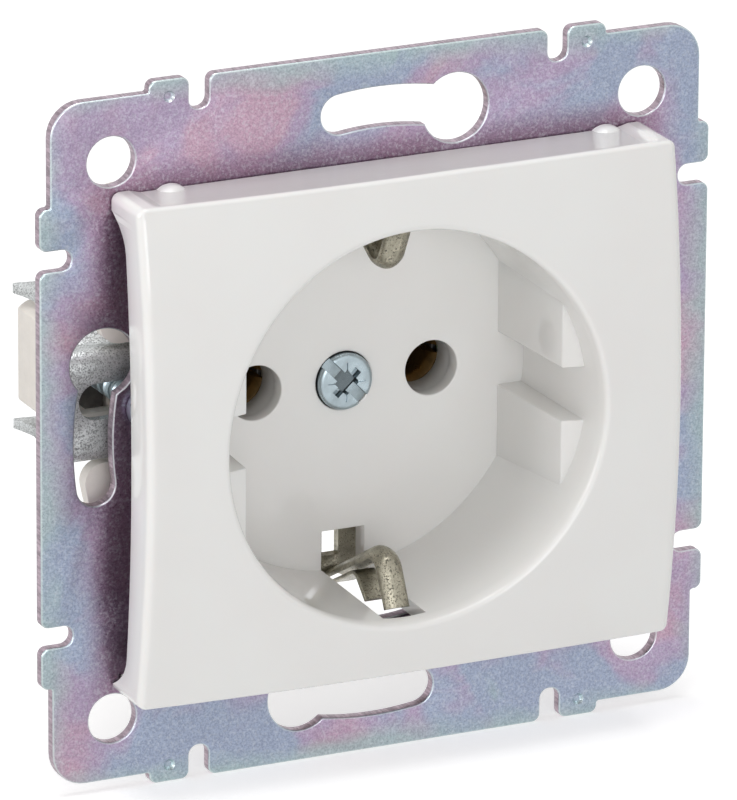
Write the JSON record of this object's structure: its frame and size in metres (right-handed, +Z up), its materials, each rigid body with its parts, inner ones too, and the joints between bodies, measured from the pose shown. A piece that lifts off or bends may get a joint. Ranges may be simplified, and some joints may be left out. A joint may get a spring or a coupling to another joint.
{
  "type": "type F wall socket",
  "caption": "Flush-mounted earthed wall socket: glossy cover with a round plug well, zinc-plated steel support plate, insulating base with screw terminals, and screw-driven spreading claws.",
  "frame": {"origin": "centre of the support plate's rear face, which lies on the wall", "axes": "front of the socket faces -Y, +X to the viewer's right, +Z up; the base goes into the wall box along +Y"},
  "size_m": [0.0714, 0.039, 0.0714],
  "materials": {
    "zinc_steel": "blue passivated zinc plating, satin",
    "cover_plastic": "glossy warm white",
    "base_plastic": "matt cream moulding",
    "blue_zinc_screw": "blue-white zinc",
    "terminal_zinc": "yellowish zinc",
    "nickel_strip": "dull nickel plating",
    "contact_brass": "plain brass",
    "spring_steel": "bare spring steel",
    "claw_steel": "matt grey zinc",
    "rivet_steel": "satin zinc"
  },
  "bodies": {
    "socket": {"support_plate": "zinc_steel", "front_cover": "cover_plastic", "cover_screw": "blue_zinc_screw", "socket_base": "base_plastic", "contact_retainer": "base_plastic", "earth_strap": "nickel_strip", "line_contact": "contact_brass", "neutral_contact": "contact_brass", "line_contact_spring": "spring_steel", "neutral_contact_spring": "spring_steel", "line_terminal_screw": "terminal_zinc", "neutral_terminal_screw": "terminal_zinc", "earth_terminal_screw": "terminal_zinc", "line_clamp_plate": "spring_steel", "neutral_clamp_plate": "spring_steel", "earth_clamp_plate": "spring_steel", "lower_left_rivet": "rivet_steel", "upper_left_rivet": "rivet_steel", "lower_right_rivet": "rivet_steel", "upper_right_rivet": "rivet_steel"},
    "left_claw_body": {"left_claw": "claw_steel"},
    "left_claw_nut_body": {"left_claw_nut": "claw_steel"},
    "left_claw_screw_body": {"left_claw_screw": "blue_zinc_screw"},
    "right_claw_body": {"right_claw": "claw_steel"},
    "right_claw_nut_body": {"right_claw_nut": "claw_steel"},
    "right_claw_screw_body": {"right_claw_screw": "blue_zinc_screw"}
  },
  "joints": [
    {"name": "left_screw_turn", "type": "hinge", "parent": "socket", "child": "left_claw_screw_body", "pos_m": [-0.0247, 0, 0.0032], "axis": [0, 1, 0], "range_deg": [0, 4320]},
    {"name": "left_nut_slide", "type": "slide", "parent": "socket", "child": "left_claw_nut_body", "axis": [0, -1, 0], "range_m": [0, 0.006]},
    {"name": "left_claw_swing", "type": "hinge", "parent": "socket", "child": "left_claw_body", "pos_m": [-0.0315, 0.0022, 0.0032], "axis": [0, 0, 1], "range_deg": [0, 20]},
    {"name": "right_screw_turn", "type": "hinge", "parent": "socket", "child": "right_claw_screw_body", "pos_m": [0.0247, 0, -0.0032], "axis": [0, 1, 0], "range_deg": [0, 4320]},
    {"name": "right_nut_slide", "type": "slide", "parent": "socket", "child": "right_claw_nut_body", "axis": [0, -1, 0], "range_m": [0, 0.006]},
    {"name": "right_claw_swing", "type": "hinge", "parent": "socket", "child": "right_claw_body", "pos_m": [0.0315, 0.0022, -0.0032], "axis": [0, 0, -1], "range_deg": [0, 20]}
  ],
  "couplings": [
    {"joint": "left_screw_turn", "follows": "left_nut_slide", "rad_per_m": 12566},
    {"joint": "left_claw_swing", "follows": "left_nut_slide", "rad_per_m": 58.17},
    {"joint": "right_screw_turn", "follows": "right_nut_slide", "rad_per_m": 12566},
    {"joint": "right_claw_swing", "follows": "right_nut_slide", "rad_per_m": 58.17}
  ]
}
